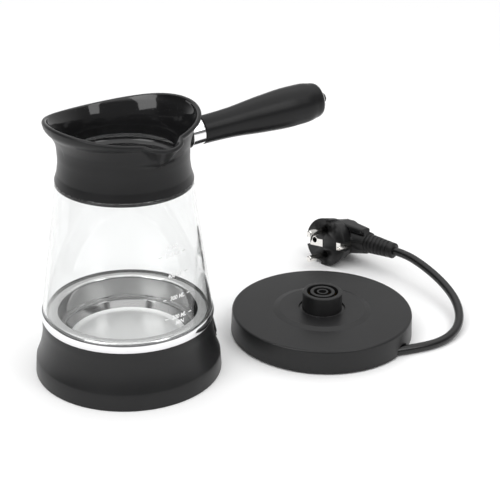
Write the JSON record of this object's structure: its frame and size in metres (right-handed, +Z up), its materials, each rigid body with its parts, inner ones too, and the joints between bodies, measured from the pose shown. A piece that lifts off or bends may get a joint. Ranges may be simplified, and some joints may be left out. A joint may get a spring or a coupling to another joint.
{
  "type": "electric turkish coffee maker",
  "caption": "Electric coffee pot with a flared glass body, black spouted collar and long side handle, standing beside its round cordless power base with cord and plug.",
  "frame": {"origin": "on the table plane, under the centre of the pot and base together, measured without the cord and plug", "axes": "+Z up and along the base's connector tower; +X the longest extent, from the pot towards the base; +Y completes the right hand"},
  "size_m": [0.2811, 0.2437, 0.1712],
  "materials": {
    "housing_black": "satin moulded black",
    "cover_black": "plain moulded black",
    "collar_black": "satin outside, glossy inside",
    "grip_black": "satin heat-resistant black",
    "plug_cap_black": "satin black",
    "base_black": "fine spark-eroded texture",
    "connector_black": "glass-filled black",
    "switch_black": "polished black",
    "rocker_black": "polished black",
    "lens_red": "clear red lens, unlit",
    "clear_glass": "clear borosilicate with printed marks",
    "pan_steel": "polished drawn sheet",
    "rod_steel": "drawn bar",
    "element_steel": "oxidised sheath",
    "screw_steel": "zinc plated",
    "trim_chrome": "polished",
    "plug_nickel": "nickel plated",
    "heater_aluminium": "rolled plate",
    "contact_brass": "bright stamped",
    "seal_silicone": "moulded translucent silicone",
    "foot_rubber": "soft moulded",
    "cord_black": "smooth sheath",
    "plug_black": "moulded, fine texture",
    "cutout_brown": "phenolic",
    "fuse_sleeve": "woven glass sleeve",
    "wire_brown": "silicone insulation",
    "wire_blue": "silicone insulation",
    "wire_green": "silicone insulation, green with yellow"
  },
  "bodies": {
    "base": {"base_top": "base_black", "base_bottom": "cover_black", "cord_clamp": "connector_black", "clamp_screws": "screw_steel", "base_feet": "foot_rubber", "base_screws": "screw_steel", "tower_body": "connector_black", "tower_contact_outer": "contact_brass", "tower_contact_inner": "contact_brass", "tower_contact_earth": "contact_brass", "inner_lead": "cord_black", "base_live_wire": "wire_brown", "base_neutral_wire": "wire_blue", "base_earth_wire": "wire_green", "power_cord": "cord_black", "plug_body": "plug_black", "plug_pins": "plug_nickel", "plug_earth_clips": "plug_nickel", "plug_boot": "plug_black"},
    "pot": {"heater_housing": "housing_black", "bottom_cover": "cover_black", "cover_screws": "screw_steel", "heating_pan": "pan_steel", "pan_seal": "seal_silicone", "trim_ring": "trim_chrome", "glass_body": "clear_glass", "collar_seal": "seal_silicone", "collar": "collar_black", "handle_ferrule": "trim_chrome", "handle_grip": "grip_black", "handle_rod": "rod_steel", "handle_end_cap": "trim_chrome", "handle_plug": "plug_cap_black", "socket_body": "connector_black", "socket_ring_outer": "contact_brass", "socket_ring_inner": "contact_brass", "socket_pin": "contact_brass", "heat_plate": "heater_aluminium", "heating_element": "element_steel", "boil_dry_cutout": "cutout_brown", "thermal_fuse": "fuse_sleeve", "switch_frame": "switch_black", "switch_body": "switch_black", "live_wires": "wire_brown", "neutral_wires": "wire_blue", "earth_wire": "wire_green"},
    "rocker": {"switch_rocker": "rocker_black", "rocker_lens": "lens_red"}
  },
  "joints": [
    {"name": "pot_lift", "type": "slide", "parent": "base", "child": "pot", "axis": [0, 0, 1], "range_m": [0, 0.15]},
    {"name": "switch_tilt", "type": "hinge", "parent": "pot", "child": "rocker", "pos_m": [-0.01497, 0.00237, 0.01926], "axis": [-0.5, 0.866, 0], "range_deg": [-16, 0]}
  ]
}
